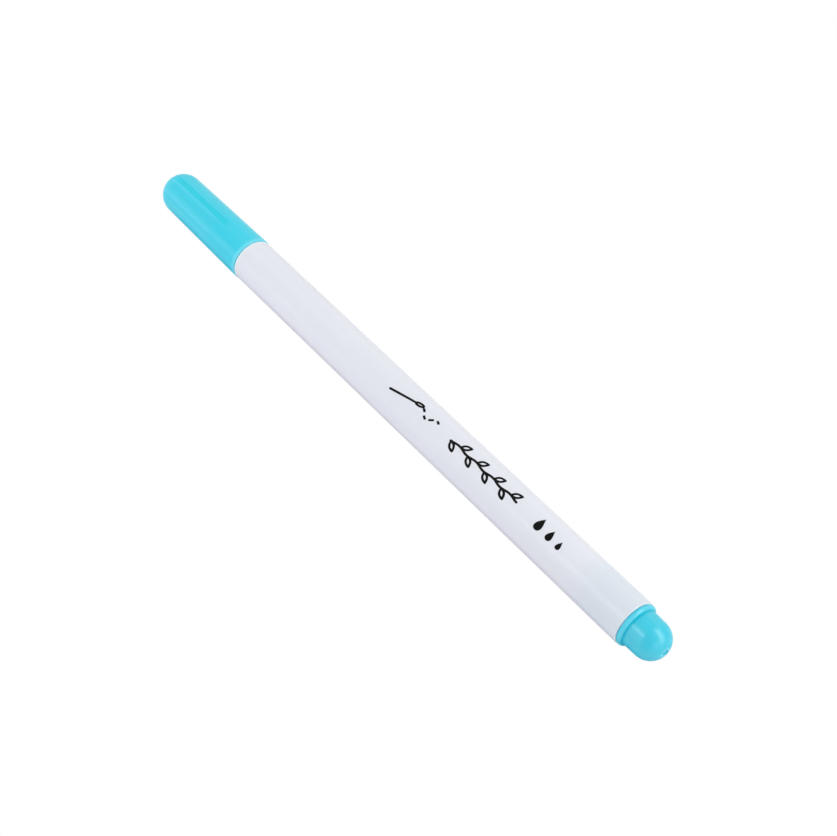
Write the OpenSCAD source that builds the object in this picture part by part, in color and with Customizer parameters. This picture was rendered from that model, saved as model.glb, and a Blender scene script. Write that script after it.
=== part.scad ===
// Fabric marking pen: a capillary felt pen with a push-on cap.
// The pen lies along X, the cap towards -X and the tail towards +X.
// The origin is under the middle of the pen, on the surface that it lies on.

/* [Barrel] */
// Outer diameter of the barrel tube
barrel_d = 8.5; // [8:0.1:10]
// Wall thickness of the barrel tube
barrel_wall = 1; // [0.85:0.05:1.15]
// Length of the barrel tube, from the cap's lip to the end plug's flange
barrel_len = 106; // [70:1:140]
// Chamfer on both outer rims of the barrel
barrel_chamfer = 0.2; // [0.1:0.05:0.3]
// Number of inner ribs that centre the reservoir and let air pass
rib_count = 4; // [3:1:8]
// Width of an inner rib
rib_w = 0.6; // [0.3:0.1:1]

/* [Cap] */
// Length of the cap, from its lip to the top of its round end
cap_len = 27.3; // [26.5:0.1:40]
// How far the cap's lip stands proud of the barrel
cap_proud = 0.1; // [0.05:0.05:0.3]
// How much smaller in radius the cap is at its round end than at its lip
cap_narrowing = 0.26; // [0.2:0.02:0.36]
// Wall thickness at the cap's lip
cap_lip_wall = 0.69; // [0.65:0.01:0.75]
// Gap between the cap's lip and the barrel's front rim
lip_gap = 0.1; // [0.05:0.01:0.2]
// Distance from the cap's lip to the mouth of the inner cap
liner_start = 9.4; // [8.5:0.1:10.5]
// Wall thickness of the inner cap
liner_wall = 0.43; // [0.35:0.01:0.5]

/* [Front section] */
// Length of the spigot that is pressed into the barrel
spigot_len = 12; // [9:0.5:16]
// Length of the neck that the cap snaps over
neck_len = 7; // [6.5:0.1:7.2]
// Length of the cylinder that the inner cap seals on
seal_len = 4; // [3.5:0.1:4.2]
// Length of the cone that ends at the nib
nose_len = 4.5; // [4:0.1:4.8]
// Radius of the cone's small end
nose_tip_r = 1.6; // [1.5:0.05:2]
// Number of air vents around the nib
vent_count = 3; // [2:1:6]

/* [Ink supply] */
// Diameter of the fibre nib
nib_d = 1.8; // [1.4:0.1:2]
// Length of nib that stands out of the nose
nib_out = 2.4; // [1.8:0.1:2.6]
// Radius of the nib's rounded point
point_r = 0.45; // [0.3:0.05:0.6]
// Length of nib that is pushed into the reservoir
nib_in_core = 7; // [4:0.5:12]
// Gap between the reservoir and the barrel's bore
reservoir_gap = 0.35; // [0.2:0.05:0.6]
// Thickness of the film around the reservoir
film_t = 0.1; // [0.05:0.01:0.15]

/* [End plug] */
// How much smaller in radius the plug's flange is than the barrel
flange_inset = 0.09; // [0.03:0.01:0.15]
// Thickness of the flange
flange_t = 1.05; // [0.95:0.05:1.5]
// Rounding of the flange's edge on the side of the post
flange_round = 0.7; // [0.5:0.05:0.75]
// How much the tail post narrows in radius from the flange to its round end
post_draft = 0.06; // [0.04:0.01:0.2]
// Distance from the barrel's rear rim to the start of the round end
post_len = 3.7; // [2.5:0.1:5]
// Length of the spigot that is pressed into the barrel
plug_spigot_len = 11.5; // [6:0.5:12]
// Wall thickness of the hollow plug
plug_wall = 1.2; // [0.9:0.05:1.4]

/* [Hidden] */
$fn = 96;

white = [0.89, 0.91, 0.94];
cyan = [0.30, 0.82, 0.93];
milky = [0.93, 0.95, 0.96];
felt = [0.80, 0.86, 0.92];

// Cutters reach this far past the faces that they open
over = 1;

// Radii, from the barrel outwards and inwards
barrel_r = barrel_d / 2;
bore_r = barrel_r - barrel_wall;
lip_r = barrel_r + cap_proud;
cap_end_r = lip_r - cap_narrowing;
mouth_r = lip_r - cap_lip_wall;
bead_r = mouth_r - 0.03;
neck_r = mouth_r - 0.1;
groove_r = mouth_r + 0.08;
pocket_r = mouth_r - 0.31;
liner_bore_r = pocket_r - liner_wall;
seal_r = liner_bore_r - 0.04;
flange_r = barrel_r - flange_inset;
post_r = mouth_r - 0.04;
dome_r = post_r - post_draft;
spigot_r = bore_r - 0.1;
chamber_r = spigot_r - 0.85;
film_r = bore_r - reservoir_gap;
core_r = film_r - film_t;
rib_r = film_r + 0.03;
nib_r = nib_d / 2;

// Small details
lead_in = 0.3;
band_slope = 0.1;
bead_slope = 0.3;
bead_start = 3.6;
bead_w = 1;
groove_margin = 0.3;
spigot_band_w = 2;
vent_w = 0.4;
vent_depth = 0.35;
end_gap = 0.5;
liner_floor = 0.6;
dome_step = 0.15;
gate_r = 0.65;
gate_depth = 0.35;
gate_pin_r = 0.2;
gate_pin_h = 0.2;

// Stations along the cap, measured from its lip
cap_dome = cap_len - cap_end_r;
liner_end = cap_dome - 0.47;
neck_pocket = neck_len + 0.4;

// Where the parts stand along X: the gate marks take a little off both round ends
cap_reach = cap_dome + sqrt(cap_end_r * cap_end_r - gate_r * gate_r);
plug_reach = post_len + sqrt(dome_r * dome_r - gate_r * gate_r);
pen_len = cap_reach + lip_gap + barrel_len + plug_reach;
front_x = cap_reach + lip_gap - pen_len / 2;
rear_x = front_x + barrel_len;
lip_x = front_x - lip_gap;
axis_z = lip_r;

// Stations along the front section and nib, measured from the barrel's front rim towards the cap
nose_start = neck_len + seal_len;
nose_end = nose_start + nose_len;
nib_tip = nose_end + nib_out;
core_front = -(spigot_len + end_gap);
nib_rear = core_front - nib_in_core;
core_len = barrel_len - spigot_len - plug_spigot_len - 2 * end_gap;

// Puts a shape that stands on Z on the pen's axis at x, pointing at the tail
module to_tail(x) {
    translate([x, 0, axis_z]) rotate([0, 90, 0]) children();
}

// Puts a shape that stands on Z on the pen's axis at x, pointing at the cap
module to_cap(x) {
    translate([x, 0, axis_z]) rotate([0, -90, 0]) children();
}

// Outline points of a raised band, or of a groove when r_band is past r_body the other way
function band(r_body, r_band, start, width, slope) = [
    [r_body, start],
    [r_band, start + slope],
    [r_band, start + width - slope],
    [r_body, start + width]
];

// Half disc that rounds a turned end, centred on the axis
module half_disc(r, at) {
    translate([0, at]) intersection() {
        circle(r = r);
        translate([0, -r]) square([r, 2 * r]);
    }
}

// The moulding gate's ring-shaped dimple with its sheared pin, cut in a round end whose top is at tip
module gate_mark(tip) {
    difference() {
        translate([0, 0, tip - gate_depth]) cylinder(r = gate_r, h = gate_depth + over);
        translate([0, 0, tip - gate_depth - over]) cylinder(r = gate_pin_r, h = over + gate_pin_h);
    }
}

// Plain tube with chamfered rims, and ribs along its bore between the two spigots
module barrel() {
    rib_start = spigot_len + lead_in;
    rib_len = barrel_len - spigot_len - plug_spigot_len - 2 * lead_in;
    color(white) to_tail(front_x) {
        rotate_extrude() polygon([
            [bore_r, 0],
            [barrel_r - barrel_chamfer, 0],
            [barrel_r, barrel_chamfer],
            [barrel_r, barrel_len - barrel_chamfer],
            [barrel_r - barrel_chamfer, barrel_len],
            [bore_r, barrel_len]
        ]);
        for (i = [0 : rib_count - 1])
            rotate([0, 0, i * 360 / rib_count])
                translate([rib_r, -rib_w / 2, rib_start])
                    cube([bore_r - rib_r + barrel_wall / 2, rib_w, rib_len]);
    }
}

// Nose moulding: spigot with two press bands, neck with snap bead, sealing cylinder and cone
module front_section() {
    chamber_end = neck_len - 2;
    funnel_len = 1.4;
    color(white) to_cap(front_x) difference() {
        rotate_extrude() polygon(concat(
            [[0, -spigot_len], [spigot_r - lead_in, -spigot_len], [spigot_r, -spigot_len + lead_in]],
            band(spigot_r, bore_r, -spigot_len + 1, spigot_band_w, band_slope),
            band(spigot_r, bore_r, -spigot_band_w - 1, spigot_band_w, band_slope),
            [[spigot_r, 0], [neck_r, 0]],
            band(neck_r, bead_r, bead_start, bead_w, bead_slope),
            [
                [neck_r, neck_len - lead_in],
                [neck_r - lead_in, neck_len],
                [seal_r, neck_len],
                [seal_r, nose_start],
                [nose_tip_r, nose_end],
                [0, nose_end]
            ]
        ));
        translate([0, 0, -spigot_len - over])
            cylinder(r = chamber_r, h = spigot_len + over + chamber_end);
        translate([0, 0, chamber_end])
            cylinder(r1 = chamber_r, r2 = nib_r, h = funnel_len);
        translate([0, 0, chamber_end])
            cylinder(r = nib_r, h = nose_end - chamber_end + over);
        for (i = [0 : vent_count - 1])
            rotate([0, 0, i * 360 / vent_count])
                translate([0, -vent_w / 2, chamber_end])
                    cube([nib_r + vent_depth, vent_w, nose_end - chamber_end + over]);
    }
}

// Fibre nib: a straight rod with a cone and a rounded point
module nib() {
    cone_len = 1.2;
    cone_end = nib_tip - point_r;
    rear_chamfer = 0.2;
    color(felt) to_cap(front_x) rotate_extrude() union() {
        polygon([
            [0, nib_rear],
            [nib_r - rear_chamfer, nib_rear],
            [nib_r, nib_rear + rear_chamfer],
            [nib_r, cone_end - cone_len],
            [point_r, cone_end],
            [0, cone_end]
        ]);
        half_disc(point_r, cone_end);
    }
}

// Bonded fibre reservoir, with the hole that the nib has pushed into it
module reservoir_core() {
    color(felt) to_cap(front_x) translate([0, 0, core_front - core_len]) difference() {
        cylinder(r = core_r, h = core_len);
        translate([0, 0, core_len - nib_in_core]) cylinder(r = nib_r, h = nib_in_core + over);
    }
}

// Film wrapped around the reservoir
module reservoir_film() {
    color(milky) to_cap(front_x) translate([0, 0, core_front - core_len]) difference() {
        cylinder(r = film_r, h = core_len);
        translate([0, 0, -over]) cylinder(r = core_r, h = core_len + 2 * over);
    }
}

// Half of the flange's outline, from its widest place to one face: that edge is rounded to r
module flange_half(r) {
    square([flange_r - r, r]);
    translate([flange_r - r, 0]) intersection() {
        circle(r = r);
        square(r);
    }
}

// Outline of the flange: a disc whose rim is rounded right across, more on the side of the post
module flange_outline() {
    widest = flange_t - flange_round;
    translate([0, widest]) {
        flange_half(flange_round);
        mirror([0, 1]) flange_half(widest);
    }
}

// Hollow end plug: spigot with two press bands, flange, and a short post with a round end
module end_plug() {
    hollow_r = dome_r - plug_wall;
    color(cyan) to_tail(rear_x) difference() {
        union() {
            rotate_extrude() polygon(concat(
                [
                    [0, -plug_spigot_len],
                    [spigot_r - lead_in, -plug_spigot_len],
                    [spigot_r, -plug_spigot_len + lead_in]
                ],
                band(spigot_r, bore_r, -plug_spigot_len + 1, spigot_band_w, band_slope),
                band(spigot_r, bore_r, -spigot_band_w - 0.5, spigot_band_w, band_slope),
                [[spigot_r, flange_t / 2], [0, flange_t / 2]]
            ));
            rotate_extrude() flange_outline();
            rotate_extrude() union() {
                polygon([[0, flange_t / 2], [post_r, flange_t / 2], [dome_r, post_len], [0, post_len]]);
                half_disc(dome_r, post_len);
            }
        }
        translate([0, 0, -plug_spigot_len - over])
            cylinder(r = hollow_r, h = plug_spigot_len + over + post_len);
        translate([0, 0, post_len]) sphere(r = hollow_r);
        gate_mark(post_len + dome_r);
    }
}

// Outside of the cap: a slight taper from the lip to the round end
module cap_outline() {
    lip_round = 0.25;
    polygon([
        [0, 0],
        [lip_r - lip_round, 0],
        [lip_r, lip_round],
        [cap_end_r, cap_dome],
        [0, cap_dome]
    ]);
    half_disc(cap_end_r, cap_dome);
}

// Inside of the cap: chamfered mouth, bore with snap groove, pocket for the inner cap, domed end
module cap_cavity() {
    groove_start = bead_start - lip_gap - groove_margin;
    groove_w = bead_w + 2 * groove_margin;
    mouth_chamfer = 0.2;
    polygon(concat(
        [[0, -over], [mouth_r + mouth_chamfer, -over], [mouth_r + mouth_chamfer, 0], [mouth_r, mouth_chamfer]],
        band(mouth_r, groove_r, groove_start, groove_w, bead_slope),
        [[mouth_r, neck_pocket], [pocket_r, neck_pocket], [pocket_r, liner_end], [0, liner_end]]
    ));
    half_disc(pocket_r - dome_step, liner_end);
}

// Push-on cap
module cap() {
    color(cyan) to_cap(lip_x) difference() {
        rotate_extrude() cap_outline();
        rotate_extrude() cap_cavity();
        gate_mark(cap_len);
    }
}

// Inner cap: the cup pressed into the cap that seals on the front section and keeps the nib wet
module inner_cap() {
    mouth_chamfer = 0.15;
    floor_at = liner_end - liner_floor;
    color(milky) to_cap(lip_x) rotate_extrude() polygon([
        [liner_bore_r + mouth_chamfer, liner_start],
        [pocket_r, liner_start],
        [pocket_r, liner_end],
        [0, liner_end],
        [0, floor_at],
        [liner_bore_r, floor_at],
        [liner_bore_r, liner_start + mouth_chamfer]
    ]);
}

barrel();
front_section();
nib();
reservoir_core();
reservoir_film();
end_plug();
cap();
inner_cap();
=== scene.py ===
"""Looks of the fabric marking pen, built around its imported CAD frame.

Lengths are metres in the frame's own axes: the pen lies along X, its cap towards -X, on the floor at Z = 0.
An outline is a list of (x, radius) points along the pen, which a lathe turns about the pen's axis.
"""

import math

import bmesh
import bpy
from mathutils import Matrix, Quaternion, Vector


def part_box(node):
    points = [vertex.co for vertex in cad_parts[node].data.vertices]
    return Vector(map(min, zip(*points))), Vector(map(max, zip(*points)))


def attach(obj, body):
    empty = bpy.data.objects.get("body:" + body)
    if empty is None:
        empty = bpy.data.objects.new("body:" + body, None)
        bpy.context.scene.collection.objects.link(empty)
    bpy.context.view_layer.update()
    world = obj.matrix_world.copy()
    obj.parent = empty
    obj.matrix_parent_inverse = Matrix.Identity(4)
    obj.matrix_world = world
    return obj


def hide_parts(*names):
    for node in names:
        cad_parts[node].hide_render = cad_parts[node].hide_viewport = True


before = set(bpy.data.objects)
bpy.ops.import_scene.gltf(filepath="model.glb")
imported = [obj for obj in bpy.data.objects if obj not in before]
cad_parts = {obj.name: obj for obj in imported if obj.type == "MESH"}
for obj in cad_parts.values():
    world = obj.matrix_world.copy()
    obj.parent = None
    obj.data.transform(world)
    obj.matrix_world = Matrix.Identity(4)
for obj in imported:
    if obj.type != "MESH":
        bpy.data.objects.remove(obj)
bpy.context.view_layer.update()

MM = 0.001


# ---------------------------------------------------------------- sizes, from the frame


def reach(node):
    """(lowest x, highest x, outer radius) of a turned CAD node."""
    low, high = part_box(node)
    return low.x, high.x, max(high.y - low.y, high.z - low.z) / 2


FRONT_X, REAR_X, BARREL_R = reach("barrel")
CAP_TIP_X, LIP_X, LIP_R = reach("cap")
LINER_END_X, LINER_START_X, POCKET_R = reach("inner_cap")
NOSE_END_X, SPIGOT_END_X, BEAD_R = reach("front_section")
NIB_TIP_X, NIB_REAR_X, NIB_R = reach("nib")
PLUG_START_X, PLUG_TIP_X, FLANGE_R = reach("end_plug")
AXIS_Z = LIP_R

# Sizes that the frame's boxes don't show, by the same sums as in the CAD model
BORE_R = BARREL_R - 1.0 * MM
MOUTH_R = BEAD_R + 0.03 * MM
GROOVE_R = MOUTH_R + 0.08 * MM
NECK_R = MOUTH_R - 0.1 * MM
CAP_END_R = LIP_R - 0.26 * MM
POST_R = MOUTH_R - 0.04 * MM
DOME_R = POST_R - 0.06 * MM
SPIGOT_R = BORE_R - 0.1 * MM
CHAMBER_R = SPIGOT_R - 0.85 * MM
LINER_BORE_R = POCKET_R - 0.43 * MM
SEAL_R = LINER_BORE_R - 0.04 * MM
NOSE_TIP_R = 1.6 * MM
HOLLOW_R = DOME_R - 1.2 * MM
GATE_R = 0.65 * MM
GATE_DEPTH = 0.35 * MM
GATE_PIN_R = 0.2 * MM
GATE_PIN_H = 0.2 * MM
FLANGE_FRONT_ROUND = 0.35 * MM
FLANGE_BACK_ROUND = 0.7 * MM

# A box ends at the rim of the gate mark sunk in its round end, so the full dome would reach a little past it
CAP_DOME_X = CAP_TIP_X + math.sqrt(CAP_END_R**2 - GATE_R**2)
POST_END_X = PLUG_TIP_X - math.sqrt(DOME_R**2 - GATE_R**2)
NECK_END_X = FRONT_X - 7 * MM
SEAL_END_X = NECK_END_X - 4 * MM
FLANGE_ROOT = math.asin((POST_R - FLANGE_R + FLANGE_BACK_ROUND) / FLANGE_BACK_ROUND)
FLANGE_END_X = REAR_X + FLANGE_FRONT_ROUND + FLANGE_BACK_ROUND * math.cos(FLANGE_ROOT)


# ---------------------------------------------------------------- lathe

SEGMENTS = 144
LONGEST_STEP = 1.5 * MM
SUPPORT = 0.03 * MM
FILLET_STEPS = 5
LONGEST_CUT = 0.45  # the share of a stretch that the fillet at one of its ends may take
NEARLY_STRAIGHT = math.radians(88)  # half the angle of a corner that is too flat to round
TINY = 1e-7


def arc(centre_x, radius, start, end, steps):
    """Points of an arc about (centre_x, axis), by angle from +X, in degrees."""
    angles = [math.radians(start + (end - start) * i / steps) for i in range(steps + 1)]
    return [(centre_x + radius * math.cos(a), radius * math.sin(a)) for a in angles]


def band(body_r, band_r, start_x, end_x, slope=0.1 * MM):
    """A raised band with sloped sides, from start_x to end_x, or a groove where band_r is the other way."""
    way = slope if end_x > start_x else -slope
    return [(start_x, body_r), (start_x + way, band_r), (end_x - way, band_r), (end_x, body_r)]


def fillet(before, corner, after, radius):
    """The corner rounded to that radius, as an arc of points, with a support point at each end."""
    ax, ay = before[0] - corner[0], before[1] - corner[1]
    bx, by = after[0] - corner[0], after[1] - corner[1]
    la, lb = math.hypot(ax, ay), math.hypot(bx, by)
    ax, ay, bx, by = ax / la, ay / la, bx / lb, by / lb
    half = math.acos(max(-1, min(1, ax * bx + ay * by))) / 2
    if half > NEARLY_STRAIGHT:
        return [corner]
    cut = min(radius / math.tan(half), LONGEST_CUT * la, LONGEST_CUT * lb)
    radius = cut * math.tan(half)
    to_centre = radius / math.sin(half)
    mx, my = ax + bx, ay + by
    lm = math.hypot(mx, my)
    cx, cy = corner[0] + mx / lm * to_centre, corner[1] + my / lm * to_centre
    start = math.atan2(corner[1] + ay * cut - cy, corner[0] + ax * cut - cx)
    turn = math.atan2(corner[1] + by * cut - cy, corner[0] + bx * cut - cx) - start
    turn = (turn + math.pi) % (2 * math.pi) - math.pi
    angles = [start + turn * i / FILLET_STEPS for i in range(FILLET_STEPS + 1)]
    round_part = [(cx + radius * math.cos(a), cy + radius * math.sin(a)) for a in angles]
    lead = cut + min(SUPPORT, 0.2 * cut)
    first = (corner[0] + ax * lead, corner[1] + ay * lead)
    last = (corner[0] + bx * lead, corner[1] + by * lead)
    return [first, *round_part, last]


def softened(points, closed):
    """The outline with its corners rounded and its long stretches divided.

    A point is (x, radius) or (x, radius, fillet). A closed outline runs on from its last point to its first.
    """
    count = len(points)
    corners = []
    for i, point in enumerate(points):
        inside = closed or 0 < i < count - 1
        if len(point) == 3 and inside:
            corners += fillet(points[i - 1][:2], point[:2], points[(i + 1) % count][:2], point[2])
        else:
            corners.append(point[:2])
    stretches = list(zip(corners, corners[1:] + corners[:1] if closed else corners[1:]))
    path = []
    for (x0, r0), (x1, r1) in stretches:
        parts = max(1, math.ceil(math.hypot(x1 - x0, r1 - r0) / LONGEST_STEP))
        path += [(x0 + (x1 - x0) * k / parts, r0 + (r1 - r0) * k / parts) for k in range(parts)]
    return path if closed else path + [corners[-1]]


def turned(name, points, closed=False, shape=None):
    """A solid turned about the pen's axis. shape(radius, angle) may change a radius, for ribs and slots."""
    path = softened(points, closed)
    bm = bmesh.new()
    rings = []
    for x, r in path:
        if r < TINY:
            rings.append([bm.verts.new((x, 0, AXIS_Z))])
            continue
        ring = []
        for k in range(SEGMENTS):
            angle = 2 * math.pi * k / SEGMENTS
            here = shape(r, angle) if shape else r
            ring.append(bm.verts.new((x, here * math.cos(angle), AXIS_Z + here * math.sin(angle))))
        rings.append(ring)
    pairs = list(zip(rings, rings[1:] + rings[:1] if closed else rings[1:]))
    for a, b in pairs:
        for k in range(SEGMENTS):
            n = (k + 1) % SEGMENTS
            corners = [a[k % len(a)], a[n % len(a)], b[n % len(b)], b[k % len(b)]]
            bm.faces.new(list(dict.fromkeys(corners)))
    bmesh.ops.recalc_face_normals(bm, faces=bm.faces)
    return finished(name, bm)


def finished(name, bm):
    """The bmesh as a smooth-shaded object in the scene."""
    for face in bm.faces:
        face.smooth = True
    mesh = bpy.data.meshes.new(name)
    bm.to_mesh(mesh)
    bm.free()
    piece = bpy.data.objects.new(name, mesh)
    bpy.context.scene.collection.objects.link(piece)
    return piece


def dress(piece, body, material, slot, *nodes):
    """Puts a piece on its body, with its material, and hides the CAD nodes that it stands for. slot is not
    used.
    """
    piece.data.materials.append(material)
    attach(piece, body)
    if nodes:
        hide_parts(*nodes)


def near_one_of(angle, count, half_width):
    """Is the angle within half_width of one of count even places round the axis?"""
    pitch = 2 * math.pi / count
    return abs((angle + pitch / 2) % pitch - pitch / 2) < half_width


def gate_outline(tip_x, sign):
    """A gate mark's outline, from the axis out: its sheared pin, then its floor. sign is the tip's side."""
    floor_x = tip_x - sign * GATE_DEPTH
    pin_x = floor_x + sign * GATE_PIN_H
    return [
        (pin_x, 0),
        (pin_x, GATE_PIN_R, 0.06 * MM),
        (floor_x, GATE_PIN_R, 0.04 * MM),
        (floor_x, GATE_R, 0.08 * MM),
    ]


# ---------------------------------------------------------------- materials

# A Mix node's colour sockets, by number, because its sockets for other kinds of value have the same names
MIX_COLOUR_INPUTS = (6, 7)
MIX_COLOUR_OUTPUT = 2

# Nearly all of a noise's values lie between these two
USUAL_NOISE = (0.3, 0.7)

# How far the roughness of a plastic goes below and above its own value. Fine specks show in the denoised
# render where a plastic's own roughness is 0.3 or less.
SMOOTHER = 0.04
ROUGHER = 0.05

# The share of a plastic's relief that its fine skin adds to the flow marks
SKIN_RELIEF = 0.35


def colour(red, green, blue):
    """A display colour, 0 to 255 a channel, as the linear colour that shaders take."""
    share = [c / 255 for c in (red, green, blue)]
    return tuple(c / 12.92 if c <= 0.04045 else ((c + 0.055) / 1.055) ** 2.4 for c in share)


class Shader:
    """A material around one Principled shader, with short calls for the nodes that drive it."""

    def __init__(self, name, base, roughness, **sockets):
        self.material = bpy.data.materials.new(name)
        self.material.use_nodes = True
        self.tree = self.material.node_tree
        self.principled = self.tree.nodes["Principled BSDF"]
        sockets.update(Base_Color=(*base, 1), Roughness=roughness)
        for socket, value in sockets.items():
            self.principled.inputs[socket.replace("_", " ")].default_value = value
        self.place = self.node("ShaderNodeTexCoord").outputs["Object"]

    def axes(self):
        """The object coordinates, as three separate numbers."""
        parts = self.node("ShaderNodeSeparateXYZ")
        self.link(self.place, parts.inputs["Vector"])
        return parts.outputs["X"], parts.outputs["Y"], parts.outputs["Z"]

    def node(self, kind, **properties):
        made = self.tree.nodes.new(kind)
        for key, value in properties.items():
            setattr(made, key, value)
        return made

    def link(self, source, target):
        self.tree.links.new(source, target)

    def drive(self, socket, source):
        self.link(source, self.principled.inputs[socket])

    def stretched(self, x, y, z):
        """Object coordinates, scaled by a factor for each axis."""
        scaled = self.node("ShaderNodeMapping", vector_type="POINT")
        scaled.inputs["Scale"].default_value = (x, y, z)
        self.link(self.place, scaled.inputs["Vector"])
        return scaled.outputs["Vector"]

    def noise(self, vector, scale, detail, roughness=0.5):
        made = self.node("ShaderNodeTexNoise")
        made.inputs["Scale"].default_value = scale
        made.inputs["Detail"].default_value = detail
        made.inputs["Roughness"].default_value = roughness
        self.link(vector, made.inputs["Vector"])
        return made.outputs["Fac"]

    def ramp(self, factor, low, high, start=0.0, end=1.0):
        """The factor's stretch from start to end, mapped to low to high, with soft ends."""
        made = self.node("ShaderNodeMapRange", interpolation_type="SMOOTHSTEP")
        for key, value in zip(("From Min", "From Max", "To Min", "To Max"), (start, end, low, high)):
            made.inputs[key].default_value = value
        self.link(factor, made.inputs["Value"])
        return made.outputs["Result"]

    def spread(self, noise, low, high):
        """A noise's usual values, mapped to low to high."""
        return self.ramp(noise, low, high, *USUAL_NOISE)

    def between(self, value, rise, full, fade, gone):
        """1 for a value from full to fade, easing to 0 at rise on one side and at gone on the other."""
        return self.maths("SUBTRACT", self.ramp(value, 0, 1, rise, full), self.ramp(value, 0, 1, fade, gone))

    def maths(self, operation, first, second=None):
        made = self.node("ShaderNodeMath", operation=operation)
        for socket, value in zip(made.inputs, (first, second)):
            if value is None:
                continue
            if isinstance(value, (int, float)):
                socket.default_value = value
            else:
                self.link(value, socket)
        return made.outputs["Value"]

    def times(self, first, second):
        return self.maths("MULTIPLY", first, second)

    def distance(self, across, up):
        """The length of the diagonal of two numbers."""
        squares = [self.maths("POWER", side, 2) for side in (across, up)]
        return self.maths("SQRT", self.maths("ADD", *squares))

    def mix(self, factor, first, second):
        """Two colours mixed by a factor. A colour is a tuple or another node's output."""
        made = self.node("ShaderNodeMix", data_type="RGBA")
        self.link(factor, made.inputs["Factor"])
        for number, value in zip(MIX_COLOUR_INPUTS, (first, second)):
            if isinstance(value, tuple):
                made.inputs[number].default_value = (*value, 1)
            else:
                self.link(value, made.inputs[number])
        return made.outputs[MIX_COLOUR_OUTPUT]

    def bump(self, height, distance):
        made = self.node("ShaderNodeBump")
        made.inputs["Distance"].default_value = distance
        made.inputs["Strength"].default_value = 1
        self.link(height, made.inputs["Height"])
        self.drive("Normal", made.outputs["Normal"])


def plastic(name, base, roughness, streak, grain, ior, scatter, tint=0.02, relief=0.003 * MM):
    """Moulded or extruded plastic: faint flow marks along the pen, a fine skin and slightly uneven gloss.

    streak scales the flow marks along each axis, and grain scales the skin. scatter is how much light goes
    into the plastic, and how far each colour of it gets.
    """
    weight, reach_of_colours = scatter
    shader = Shader(name, base, roughness, IOR=ior, Subsurface_Weight=weight,
                    Subsurface_Radius=reach_of_colours, Subsurface_Scale=SCATTER_DEPTH)
    flow = shader.noise(shader.stretched(*streak), 1.0, detail=4.0)
    skin = shader.noise(shader.place, grain, detail=2.0)
    shader.drive("Roughness", shader.spread(flow, roughness - SMOOTHER, roughness + ROUGHER))
    darker = tuple(c * (1 - tint) for c in base)
    lighter = tuple(min(1, c * (1 + tint)) for c in base)
    shader.colour = shader.mix(shader.spread(flow, 0, 1), darker, lighter)
    shader.drive("Base Color", shader.colour)
    height = shader.maths("ADD", flow, shader.times(skin, SKIN_RELIEF))
    shader.bump(height, relief)
    return shader


def barrel_shader():
    """White plastic, thin enough for the cyan spigot of the end plug to tint it, painted darker over the plug
    as shade towards the tail, with painted highlights round its two ends.
    """
    shader = plastic("barrel_plastic", BARREL_WHITE, 0.34, (30, 700, 700), 7000, ior=1.53,
                     scatter=WHITE_SCATTER, tint=0.006, relief=0.0012 * MM)
    x, _, _ = shader.axes()
    # Over the plug: the cyan of the spigot showing through, and painted shade darkening the tail
    over_plug = shader.ramp(x, 0, 1, PLUG_START_X - 2 * MM, PLUG_START_X + 5 * MM)
    tinted_and_shaded = shader.mix(over_plug, shader.colour, BARREL_TINTED_AND_SHADED)
    # Painted highlights: a pale line just behind the front end, by the cap's lip, and a fainter one at the
    # rear end
    front_rim_highlight = shader.ramp(x, 1, 0, FRONT_X + 0.2 * MM, FRONT_X + 0.55 * MM)
    rear_rim_highlight = shader.ramp(x, 0, 0.35, REAR_X - 0.3 * MM, REAR_X - 0.1 * MM)
    rim_highlights = shader.maths("ADD", front_rim_highlight, rear_rim_highlight)
    shader.drive("Base Color", shader.mix(rim_highlights, tinted_and_shaded, BARREL_RIM_HIGHLIGHT))
    return shader.material


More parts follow.
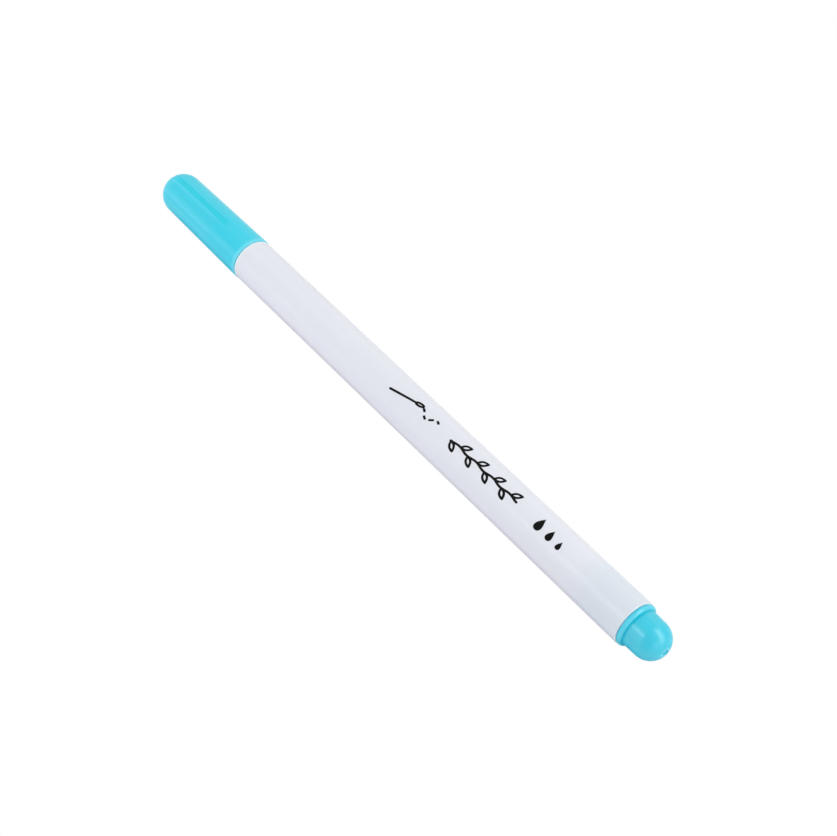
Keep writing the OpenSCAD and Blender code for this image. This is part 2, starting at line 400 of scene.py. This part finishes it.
def cap_shader():
    """Cyan plastic, paler where the white inner cap touches it from inside.

    Along three lines evenly spaced round the cap, the cyan is deeper, with thin paler lines beside them.
    Its lip has a painted highlight.
    """
    shader = plastic("cap_plastic", CAP_CYAN, 0.32, (60, 420, 420), 6000, ior=1.5,
                     scatter=CYAN_SCATTER, relief=0.0015 * MM)
    x, y, z = shader.axes()

    # How far round from the nearest deep line: 0 on it, 0.5 halfway to the next
    angle = shader.maths("ARCTAN2", shader.times(y, -1), shader.maths("SUBTRACT", z, AXIS_Z))
    past_line = shader.maths("SUBTRACT", angle, math.radians(DEEP_LINE_AT))
    pitches = shader.times(past_line, DEEP_LINES / (2 * math.pi))
    share = shader.maths("FRACT", shader.maths("ADD", pitches, 0.5))
    straight = shader.maths("ABSOLUTE", shader.maths("SUBTRACT", share, 0.5))
    wander = shader.noise(shader.stretched(90, 300, 300), 1.0, detail=2.0)
    offset = shader.maths("ADD", straight, shader.times(shader.maths("SUBTRACT", wander, 0.5), 0.02))

    over_liner = shader.ramp(x, 1, 0, LINER_START_X - 1.4 * MM, LINER_START_X + 1.4 * MM)
    blotches = shader.noise(shader.stretched(150, 500, 500), 1.0, detail=5.0, roughness=0.6)
    touching = shader.times(over_liner, shader.spread(blotches, 0.6, 1.0))
    paler = shader.mix(touching, shader.colour, CAP_PALE)

    below_dome = shader.ramp(x, 0, 1, CAP_TIP_X + 1.2 * MM, CAP_TIP_X + 3.6 * MM)
    on_line = shader.ramp(offset, 1, 0, 0.045, 0.085)
    line_end = shader.ramp(x, 1, 0, LINER_START_X + 1 * MM, LINER_START_X + 3.4 * MM)
    clear = shader.times(shader.times(on_line, line_end), below_dome)
    deeper = shader.mix(clear, paler, CAP_DEEP)
    shader.drive("Specular IOR Level", shader.ramp(clear, 0.5, 0.3))

    beside = shader.between(offset, 0.07, 0.095, 0.095, 0.12)
    beyond = shader.between(offset, 0.38, 0.42, 0.42, 0.46)
    lines = shader.times(shader.maths("ADD", beside, beyond), shader.times(over_liner, below_dome))
    lined = shader.mix(shader.times(lines, 0.6), deeper, CAP_LINE)

    # Painted highlight: the lip paler over its last millimetre
    rim = shader.ramp(x, 0, 1, LIP_X - 1.1 * MM, LIP_X - 0.1 * MM)
    shader.drive("Base Color", shader.mix(rim, lined, CAP_RIM_HIGHLIGHT))
    return shader.material


def plug_shader():
    """Cyan plastic: pale round the gate mark, with a painted highlight along the flange's crest and painted
    shade, deeper cyan and weaker reflection, where the flange meets the post.
    """
    shader = plastic("plug_plastic", PLUG_CYAN, 0.34, (250, 420, 420), 6000, ior=1.85,
                     scatter=CYAN_SCATTER, relief=0.001 * MM)
    x, y, z = shader.axes()
    radius = shader.distance(y, shader.maths("SUBTRACT", z, AXIS_Z))

    # Painted shade where the flange meets the post: deeper cyan and weaker reflection
    root_shade = shader.between(x, FLANGE_END_X - 0.15 * MM, FLANGE_END_X + 0.05 * MM,
                          FLANGE_END_X + 0.2 * MM, FLANGE_END_X + 0.45 * MM)
    root_shaded = shader.mix(root_shade, shader.colour, PLUG_ROOT_SHADE)
    shader.drive("Specular IOR Level", shader.ramp(root_shade, 0.5, 0.15))

    # Painted highlight along the flange's crest
    ridge_highlight = shader.between(x, REAR_X + 0.35 * MM, REAR_X + 0.6 * MM, REAR_X + 0.8 * MM, REAR_X + 0.98 * MM)
    ridge_lit = shader.mix(ridge_highlight, root_shaded, PLUG_RIDGE_HIGHLIGHT)

    at_end = shader.ramp(x, 0, 1, PLUG_TIP_X - 0.35 * MM, PLUG_TIP_X - 0.2 * MM)
    round_gate = shader.between(radius, 0.5 * MM, 0.68 * MM, 0.78 * MM, 1.05 * MM)
    shader.drive("Base Color", shader.mix(shader.times(at_end, round_gate), ridge_lit, PLUG_PALE))
    return shader.material


def ink():
    """Printed black ink: slightly uneven and less glossy than the barrel."""
    shader = Shader("print_ink", INK_BLACK, 0.5, Specular_IOR_Level=0.12)
    grain = shader.noise(shader.place, 9000, detail=3.0)
    shader.drive("Roughness", shader.spread(grain, 0.43, 0.6))
    shader.drive("Base Color", shader.mix(shader.ramp(grain, 0, 1, 0.35, 0.75), INK_DENSE, INK_THIN))
    shader.bump(grain, 0.002 * MM)
    return shader.material


def fibre(name, base, across, along):
    """Bonded polyester fibre: fine strands along the pen, with darker gaps where the ink sits."""
    shader = Shader(name, base, 0.9, Specular_IOR_Level=0.25)
    strands = shader.noise(shader.stretched(along, across, across), 1.0, detail=6.0, roughness=0.65)
    gaps = shader.ramp(strands, 0, 1, 0.35, 0.65)
    shader.drive("Base Color", shader.mix(gaps, tuple(c * 0.72 for c in base), base))
    shader.drive("Roughness", shader.spread(strands, 0.8, 0.98))
    shader.bump(strands, 0.03 * MM)
    return shader.material


def film():
    """Clear film wound round the reservoir, drawn pale because the fibre shows through it."""
    shader = Shader("wrap_film", FILM, 0.18, IOR=1.57)
    creases = shader.noise(shader.stretched(60, 900, 900), 1.0, detail=4.0)
    shader.drive("Base Color", shader.mix(creases, FILM_BLUER, FILM_PALER))
    shader.drive("Roughness", shader.spread(creases, 0.12, 0.28))
    shader.bump(creases, 0.02 * MM)
    return shader.material


BARREL_WHITE = colour(227, 230, 239)
# The barrel over the plug: cyan from the spigot, and darker as painted shade
BARREL_TINTED_AND_SHADED = colour(217, 226, 235)
# Painted highlight on the barrel's two ends
BARREL_RIM_HIGHLIGHT = colour(238, 247, 254)
CAP_CYAN = colour(46, 210, 234)
CAP_PALE = colour(56, 209, 232)
CAP_DEEP = colour(30, 206, 227)
CAP_LINE = colour(84, 214, 238)
# Painted highlight on the cap's lip
CAP_RIM_HIGHLIGHT = colour(108, 222, 243)
PLUG_CYAN = colour(6, 202, 228)
# Painted shade where the flange meets the post
PLUG_ROOT_SHADE = colour(2, 191, 218)
# Painted highlight along the flange's crest
PLUG_RIDGE_HIGHLIGHT = colour(70, 212, 236)
PLUG_PALE = colour(110, 224, 244)
SECTION_WHITE = colour(226, 229, 234)
MILKY = colour(226, 232, 236)
INK_BLACK = colour(6, 6, 7)
INK_DENSE = colour(4, 4, 5)
INK_THIN = colour(12, 12, 14)
NIB_BLUE = colour(120, 190, 226)
RESERVOIR_BLUE = colour(150, 204, 232)
FILM = colour(214, 232, 242)
FILM_BLUER = colour(196, 222, 238)
FILM_PALER = colour(226, 238, 245)

# Light that scatters inside a plastic: how much of it, and how far its red, green and blue get
WHITE_SCATTER = (0.2, (1, 0.95, 0.9))
CYAN_SCATTER = (0.15, (0.3, 0.9, 1))
MILKY_SCATTER = (0.3, (1, 1, 1))
SCATTER_DEPTH = 0.5 * MM

# The cap's deep lines, evenly spaced, and the angle of one of them from the top, in degrees
DEEP_LINES = 3
DEEP_LINE_AT = 4.7

barrel_plastic = barrel_shader()
cap_plastic = cap_shader()
section_plastic = plastic("section_plastic", SECTION_WHITE, 0.33, (90, 500, 500), 7000, ior=1.49,
                          scatter=WHITE_SCATTER).material
plug_plastic = plug_shader()
liner_plastic = plastic("liner_plastic", MILKY, 0.42, (90, 500, 500), 6000, ior=1.5,
                        scatter=MILKY_SCATTER).material
nib_fibre = fibre("nib_fibre", NIB_BLUE, across=9000, along=500)
reservoir_fibre = fibre("reservoir_fibre", RESERVOIR_BLUE, across=4000, along=200)
wrap_film = film()


# ---------------------------------------------------------------- pieces of the pen


def barrel_tube():
    """The tube, its rims rounded and its four inner ribs standing in the bore."""
    rim = 0.22 * MM
    rib_r = BORE_R - 0.32 * MM
    rib_from, rib_to = SPIGOT_END_X + 0.3 * MM, PLUG_START_X - 0.3 * MM
    half_width = 0.3 * MM / rib_r

    def ribbed(r, angle):
        at_ribs = abs(r - rib_r) < TINY
        return BORE_R if at_ribs and not near_one_of(angle, 4, half_width) else r

    step = 0.02 * MM
    return turned("barrel_tube", [
        (FRONT_X, BARREL_R, rim),
        (REAR_X, BARREL_R, rim),
        (REAR_X, BORE_R, 0.08 * MM),
        (rib_to + step, BORE_R),
        (rib_to, rib_r),
        (rib_from, rib_r),
        (rib_from - step, BORE_R),
        (FRONT_X, BORE_R, 0.08 * MM),
    ], closed=True, shape=ribbed)


def end_plug():
    """The tail plug: gate mark, round end, drafted post, rounded flange, banded spigot and its hollow."""
    widest_x = REAR_X + FLANGE_FRONT_ROUND
    start = math.degrees(math.asin(GATE_R / DOME_R))
    above_root = math.degrees(FLANGE_ROOT) + 6
    back = arc(widest_x, FLANGE_BACK_ROUND, above_root, 90, 14)
    front = arc(widest_x, FLANGE_FRONT_ROUND, 90, 180, 10)
    return turned("tail_plug", [
        *gate_outline(POST_END_X + DOME_R, 1),
        *arc(POST_END_X, DOME_R, start, 90, 32),
        (FLANGE_END_X, POST_R, 0.05 * MM),
        *[(x, r + FLANGE_R - FLANGE_BACK_ROUND) for x, r in back],
        *[(x, r + FLANGE_R - FLANGE_FRONT_ROUND) for x, r in front[1:]],
        (REAR_X, SPIGOT_R, 0.05 * MM),
        *band(SPIGOT_R, BORE_R, REAR_X - 0.5 * MM, REAR_X - 2.5 * MM),
        *band(SPIGOT_R, BORE_R, PLUG_START_X + 3 * MM, PLUG_START_X + 1 * MM),
        (PLUG_START_X, SPIGOT_R, 0.3 * MM),
        (PLUG_START_X, HOLLOW_R, 0.15 * MM),
        *arc(POST_END_X, HOLLOW_R, 90, 0, 16),
    ])


def cap_shell():
    """The cap: gate mark, round end, drafted side, rounded lip, snap groove and the inner cap's pocket."""
    wall = 0.15 * MM
    start = 180 - math.degrees(math.asin(GATE_R / CAP_END_R))
    groove_x = LIP_X - 3.2 * MM
    shoulder_x = LIP_X - 7.4 * MM
    return turned("cap_shell", [
        *gate_outline(CAP_DOME_X - CAP_END_R, -1),
        *arc(CAP_DOME_X, CAP_END_R, start, 90, 32),
        (LIP_X, LIP_R, 0.26 * MM),
        (LIP_X, MOUTH_R, 0.2 * MM),
        *band(MOUTH_R, GROOVE_R, groove_x, groove_x - 1.6 * MM, 0.3 * MM),
        (shoulder_x, MOUTH_R, 0.08 * MM),
        (shoulder_x, POCKET_R, 0.08 * MM),
        (LINER_END_X, POCKET_R, 0.05 * MM),
        (LINER_END_X, POCKET_R - wall),
        *arc(LINER_END_X, POCKET_R - wall, 90, 180, 20)[1:],
    ])


def cap_liner():
    """The inner cap: a thin cup whose mouth is rounded to ride over the front section."""
    floor_x = LINER_END_X + 0.6 * MM
    return turned("inner_cap_liner", [
        (LINER_END_X, 0),
        (LINER_END_X, POCKET_R, 0.1 * MM),
        (LINER_START_X, POCKET_R, 0.06 * MM),
        (LINER_START_X, LINER_BORE_R + 0.12 * MM, 0.06 * MM),
        (LINER_START_X - 0.15 * MM, LINER_BORE_R, 0.1 * MM),
        (floor_x, LINER_BORE_R, 0.2 * MM),
        (floor_x, 0),
    ])


def front_section():
    """The nose moulding: press bands, snap bead, seal cylinder, cone and the air vents round the nib."""
    chamber_x = NECK_END_X + 2 * MM
    funnel_x = chamber_x - 1.4 * MM
    bead_x = FRONT_X - 3.6 * MM
    vent_r = NIB_R + 0.35 * MM
    half_width = 0.2 * MM / vent_r

    def vented(r, angle):
        in_bore = abs(r - NIB_R) < TINY
        return vent_r if in_bore and near_one_of(angle, 3, half_width) else r

    return turned("nose_section", [
        (NOSE_END_X, NOSE_TIP_R, 0.12 * MM),
        (SEAL_END_X, SEAL_R, 0.6 * MM),
        (NECK_END_X, SEAL_R, 0.12 * MM),
        (NECK_END_X, NECK_R, 0.3 * MM),
        *band(NECK_R, BEAD_R, bead_x - 1 * MM, bead_x, 0.3 * MM),
        (FRONT_X, NECK_R, 0.05 * MM),
        (FRONT_X, SPIGOT_R, 0.05 * MM),
        *band(SPIGOT_R, BORE_R, FRONT_X + 1 * MM, FRONT_X + 3 * MM),
        *band(SPIGOT_R, BORE_R, SPIGOT_END_X - 3 * MM, SPIGOT_END_X - 1 * MM),
        (SPIGOT_END_X, SPIGOT_R, 0.3 * MM),
        (SPIGOT_END_X, CHAMBER_R, 0.15 * MM),
        (chamber_x, CHAMBER_R),
        (funnel_x, NIB_R),
        (NOSE_END_X, NIB_R),
    ], closed=True, shape=vented)


def nib_rod():
    """The fibre nib: a rod with a ground cone and a rounded point."""
    point_r = 0.45 * MM
    ball_x = NIB_TIP_X + point_r
    return turned("fibre_nib", [
        *arc(ball_x, point_r, 180, 108, 12),
        (ball_x + 1.2 * MM, NIB_R, 0.5 * MM),
        (NIB_REAR_X, NIB_R, 0.15 * MM),
        (NIB_REAR_X, 0),
    ])


# ---------------------------------------------------------------- print on the barrel

# The print is a row of sewing motifs. Its places are in millimetres: u runs along the pen from its middle,
# and v up the printed band from its foot.
BAND_FOOT = 31.3  # degrees down from the top of the barrel
STROKE = 0.44
TIP_WIDTH = 0.7  # of a stroke's width, at an open end
LINE_STEP = 0.3
ROUND_STEPS = 40
LEAF_STEPS = 14
BLOT_RINGS = 5
INK_DEPTH = 0.01 * MM
INK_HEIGHT = 0.012 * MM


def curve(function, steps):
    """Points of function(share), for shares from 0 to 1."""
    return [function(i / steps) for i in range(steps + 1)]


def line(start, end):
    """Points of a straight line."""
    steps = max(2, math.ceil(math.dist(start, end) / LINE_STEP))
    return curve(lambda k: (start[0] + (end[0] - start[0]) * k, start[1] + (end[1] - start[1]) * k), steps)


def oval(u, v, half_u, half_v, lean):
    """The outline of an oval about (u, v), turned by lean degrees."""
    c, s = math.cos(math.radians(lean)), math.sin(math.radians(lean))

    def at(share):
        a = 2 * math.pi * share
        x, y = half_u * math.cos(a), half_v * math.sin(a)
        return u + x * c - y * s, v + x * s + y * c

    return curve(at, ROUND_STEPS)[:-1]


def leaf(start, end, width):
    """The outline of a pointed leaf between two points."""
    du, dv = end[0] - start[0], end[1] - start[1]
    length = math.hypot(du, dv)

    def side(way):
        return curve(lambda k: (
            start[0] + du * k - way * dv / length * width / 2 * math.sin(math.pi * k),
            start[1] + dv * k + way * du / length * width / 2 * math.sin(math.pi * k),
        ), LEAF_STEPS)

    return side(1)[:-1] + side(-1)[::-1][:-1]


def drop(u, foot, height):
    """The outline of a water drop that stands on the height foot, its point upward."""
    half = height * 0.42

    def at(share):
        a = 2 * math.pi * share
        return u + half * math.sin(a) * math.sin(a / 2) ** 1.6, foot + height * (1 + math.cos(a)) / 2

    return curve(at, ROUND_STEPS)[:-1]


def needle_and_thread(u):
    """A needle, its thread running on in wavy stitches."""
    shaft = line((u, 0.55), (u + 5.9, 1.95))
    eye = oval(u + 6.7, 2.14, half_u=0.84, half_v=0.3, lean=13)
    thread_u, thread_v, sway = u + 7.7, 1.5, 0.6
    pitch, stitch, wave = 1.25, 0.62, 3.1
    marks = [("line", shaft), ("loop", eye)]
    for i in range(4):
        marks.append(("line", curve(lambda k: (
            thread_u + pitch * (i + stitch * k),
            thread_v + sway * math.cos(2 * math.pi * (i + stitch * k) / wave),
        ), 6)))
    return marks


def garland(u, count, pitch):
    """A waving stem with leaves on its two sides in turn."""
    stem_v, sway = 1.43, 0.16
    marks = [("line", curve(lambda k: (
        u + count * pitch * k,
        stem_v - sway * math.cos(math.pi * count * k),
    ), 12 * count))]
    for i in range(count):
        foot = u + (i + 0.15) * pitch
        near, far = (1.55, 2.85) if i % 2 else (1.3, 0.0)
        marks.append(("loop", leaf((foot, near), (foot + 0.72 * pitch, far), width=0.82)))
    return marks


def drops(u):
    """Three water drops, each smaller than the one before."""
    return [("blot", drop(u + along, 0.1, height)) for along, height in ((1.1, 2.7), (3.9, 2.2), (6.3, 1.7))]


def on_barrel(u, v, height):
    """The place of a print point, at a height over the barrel's surface."""
    angle = math.radians(BAND_FOOT) - v * MM / BARREL_R
    radius = BARREL_R + height
    return u * MM, -radius * math.sin(angle), AXIS_Z + radius * math.cos(angle)


def ink_stroke(bm, points, closed):
    """Adds one stroke: a thin closed film that follows the barrel, blunt at an open end."""
    sections = []
    for i, (u, v) in enumerate(points):
        before = points[i - 1] if closed or i else points[0]
        after = points[(i + 1) % len(points)] if closed or i < len(points) - 1 else points[-1]
        du, dv = after[0] - before[0], after[1] - before[1]
        length = math.hypot(du, dv)
        at_tip = not closed and i in (0, len(points) - 1)
        half = STROKE / 2 * (TIP_WIDTH if at_tip else 1)
        across = [(u - dv / length * half * k, v + du / length * half * k) for k in (-1, 0, 1)]
        sections.append([bm.verts.new(on_barrel(*place, INK_HEIGHT)) for place in across]
                        + [bm.verts.new(on_barrel(*place, -INK_DEPTH)) for place in reversed(across)])
    for a, b in zip(sections, sections[1:] + sections[:1] if closed else sections[1:]):
        for k in range(len(a)):
            n = (k + 1) % len(a)
            bm.faces.new((a[k], a[n], b[n], b[k]))
    if not closed:
        bm.faces.new(sections[0])
        bm.faces.new(sections[-1][::-1])


def ink_blot(bm, points):
    """Adds one filled shape: rings of its outline, shrinking to its middle, above and below."""
    middle = [sum(axis) / len(points) for axis in zip(*points)]
    shares = [k / BLOT_RINGS for k in range(1, BLOT_RINGS + 1)]
    rings = []
    for share, height in [(k, INK_HEIGHT) for k in shares] + [(k, -INK_DEPTH) for k in reversed(shares)]:
        rings.append([bm.verts.new(on_barrel(
            middle[0] + (u - middle[0]) * share, middle[1] + (v - middle[1]) * share, height,
        )) for u, v in points])
    for a, b in zip(rings, rings[1:]):
        for k in range(len(points)):
            n = (k + 1) % len(points)
            bm.faces.new((a[k], a[n], b[n], b[k]))
    for ring, height in ((rings[0], INK_HEIGHT), (rings[-1], -INK_DEPTH)):
        hub = bm.verts.new(on_barrel(*middle, height))
        for k in range(len(points)):
            bm.faces.new((ring[k], ring[(k + 1) % len(points)], hub))


def printed_band():
    """The whole print, as one mesh."""
    bm = bmesh.new()
    for kind, points in needle_and_thread(u=1.5) + garland(u=17.5, count=8, pitch=2.2) + drops(u=39.7):
        if kind == "blot":
            ink_blot(bm, points)
        else:
            ink_stroke(bm, points, kind == "loop")
    bmesh.ops.recalc_face_normals(bm, faces=bm.faces)
    return finished("printed_band", bm)


dress(barrel_tube(), "barrel", barrel_plastic, "barrel_plastic", "barrel")
dress(end_plug(), "barrel", plug_plastic, "plug_plastic", "end_plug")
dress(front_section(), "barrel", section_plastic, "section_plastic", "front_section")
dress(nib_rod(), "barrel", nib_fibre, "nib_fibre", "nib")
dress(printed_band(), "barrel", ink(), "print_ink")
dress(cap_shell(), "cap", cap_plastic, "cap_plastic", "cap")
dress(cap_liner(), "cap", liner_plastic, "liner_plastic", "inner_cap")

# The reservoir keeps its CAD meshes, which are always hidden inside the pen
for node, material in (("reservoir_core", reservoir_fibre), ("reservoir_film", wrap_film)):
    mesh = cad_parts[node].data
    mesh.materials.clear()
    mesh.materials.append(material)


# ---------------------------------------------------------------- camera, light and floor

CAMERA_AIM = (6.05 * MM, 1.195 * MM, 2.146 * MM)
CAMERA_AWAY = 326.7 * MM
CAMERA_AZIMUTH = math.radians(51.5)
CAMERA_ELEVATION = math.radians(49.2)
CAMERA_LENS = 79.379


def make_camera():
    """The camera, CAMERA_AWAY from its aim, at the photograph's angle."""
    data = bpy.data.cameras.new("camera")
    data.sensor_width = 36
    data.lens = CAMERA_LENS
    data.clip_start = 0.01
    camera = bpy.data.objects.new("camera", data)
    flat = math.cos(CAMERA_ELEVATION) * CAMERA_AWAY
    camera.location = (
        CAMERA_AIM[0] + math.sin(CAMERA_AZIMUTH) * flat,
        CAMERA_AIM[1] - math.cos(CAMERA_AZIMUTH) * flat,
        CAMERA_AIM[2] + math.sin(CAMERA_ELEVATION) * CAMERA_AWAY,
    )
    camera.rotation_euler = (math.pi / 2 - CAMERA_ELEVATION, 0, CAMERA_AZIMUTH)
    bpy.context.scene.collection.objects.link(camera)
    bpy.context.scene.camera = camera


def seen_white(tree, lit, output):
    """Lets the camera see plain white where all other rays meet the lit shader. Gives the Light Path node."""
    white = tree.nodes.new("ShaderNodeEmission")
    rays = tree.nodes.new("ShaderNodeLightPath")
    either = tree.nodes.new("ShaderNodeMixShader")
    tree.links.new(rays.outputs["Is Camera Ray"], either.inputs[0])
    tree.links.new(lit, either.inputs[1])
    tree.links.new(white.outputs["Emission"], either.inputs[2])
    tree.links.new(either.outputs["Shader"], output.inputs["Surface"])
    return rays


def make_world():
    """An even white studio sky."""
    world = bpy.data.worlds.new("studio")
    world.use_nodes = True
    tree = world.node_tree
    background = tree.nodes["Background"]
    background.inputs["Color"].default_value = (*SKY, 1)
    background.inputs["Strength"].default_value = SKY_STRENGTH
    seen_white(tree, background.outputs["Background"], tree.nodes["World Output"])
    bpy.context.scene.world = world


def make_floor():
    """A pale floor, which the camera sees burnt out to white.

    The pen is lit by it as it is, and mirrors it darker close to the pen, where the pen shades it.
    """
    half = FLOOR_SIZE / 2
    corners = [(-half, -half, 0), (half, -half, 0), (half, half, 0), (-half, half, 0)]
    mesh = bpy.data.meshes.new("floor")
    mesh.from_pydata(corners, [], [(0, 1, 2, 3)])
    floor = bpy.data.objects.new("floor", mesh)
    shader = Shader("floor_paint", FLOOR, 1.0, Specular_IOR_Level=0.0)
    output = shader.tree.nodes["Material Output"]
    rays = seen_white(shader.tree, shader.principled.outputs["BSDF"], output)
    x, y, _ = shader.axes()
    past_end = shader.maths("MAXIMUM", shader.maths("SUBTRACT", shader.maths("ABSOLUTE", x), REAR_X), 0)
    out_of_shade = shader.ramp(shader.distance(past_end, y), 0, 1, SHADE_START, SHADE_END)
    mirrored = shader.mix(out_of_shade, FLOOR_IN_SHADE, FLOOR_MIRRORED)
    shader.drive("Base Color", shader.mix(rays.outputs["Is Glossy Ray"], FLOOR, mirrored))
    mesh.materials.append(shader.material)
    bpy.context.scene.collection.objects.link(floor)


def make_light(name, place, target, size, watts, roll=0, tint=(1, 1, 1)):
    """A soft rectangular light at place, facing target and rolled by degrees about that line."""
    data = bpy.data.lights.new(name, "AREA")
    data.shape = "RECTANGLE"
    data.size, data.size_y = size
    data.energy = watts
    data.color = tint
    light = bpy.data.objects.new(name, data)
    light.location = place
    facing = (Vector(target) - Vector(place)).to_track_quat("-Z", "Y")
    light.rotation_euler = (facing @ Quaternion((0, 0, 1), math.radians(roll))).to_euler()
    light.visible_camera = False
    bpy.context.scene.collection.objects.link(light)


SKY = (1, 1, 1)
SKY_STRENGTH = 0.648
FLOOR_SIZE = 3.0
FLOOR = (0.90, 0.87, 0.93)
FLOOR_MIRRORED = (0.88, 0.88, 0.84)
FLOOR_IN_SHADE = (0.25, 0.25, 0.24)
SHADE_START = 2.5 * MM
SHADE_END = 10 * MM
TAIL_TINT = (1, 0.98, 0.93)
BACK_TINT = (1, 0.98, 0.92)

make_camera()
make_world()
make_floor()
make_light("side_panel", (-0.105, -0.264, 0.292), (0.055, 0, 0), size=(0.12, 0.10), watts=0.165, roll=-72)
make_light("tail_strip", (0.287, 0.197, 0.29), (0.066, 0, 0.005), size=(0.16, 0.55), watts=0.740, roll=145,
           tint=TAIL_TINT)
make_light("back_strip", (-0.15, 0.36, 0.19), (-0.02, 0, 0.004), size=(0.14, 0.50), watts=0.150, roll=83,
           tint=BACK_TINT)
make_light("cap_fill", (-0.22, -0.20, 0.06), (-0.05, 0, 0.004), size=(0.30, 0.12), watts=0.108)
make_light("right_fill", (0.45, -0.05, 0.12), (0.06, 0, 0), size=(0.3, 0.2), watts=0.145)
make_light("front_fill", (-0.1, -0.45, 0.12), (0, 0, 0), size=(0.3, 0.2), watts=0.105)
make_light("left_fill", (-0.45, 0.05, 0.25), (-0.05, 0, 0), size=(0.3, 0.3), watts=0.245)
bpy.context.scene.view_settings.view_transform = "Standard"
bpy.context.scene.cycles.use_denoising = True
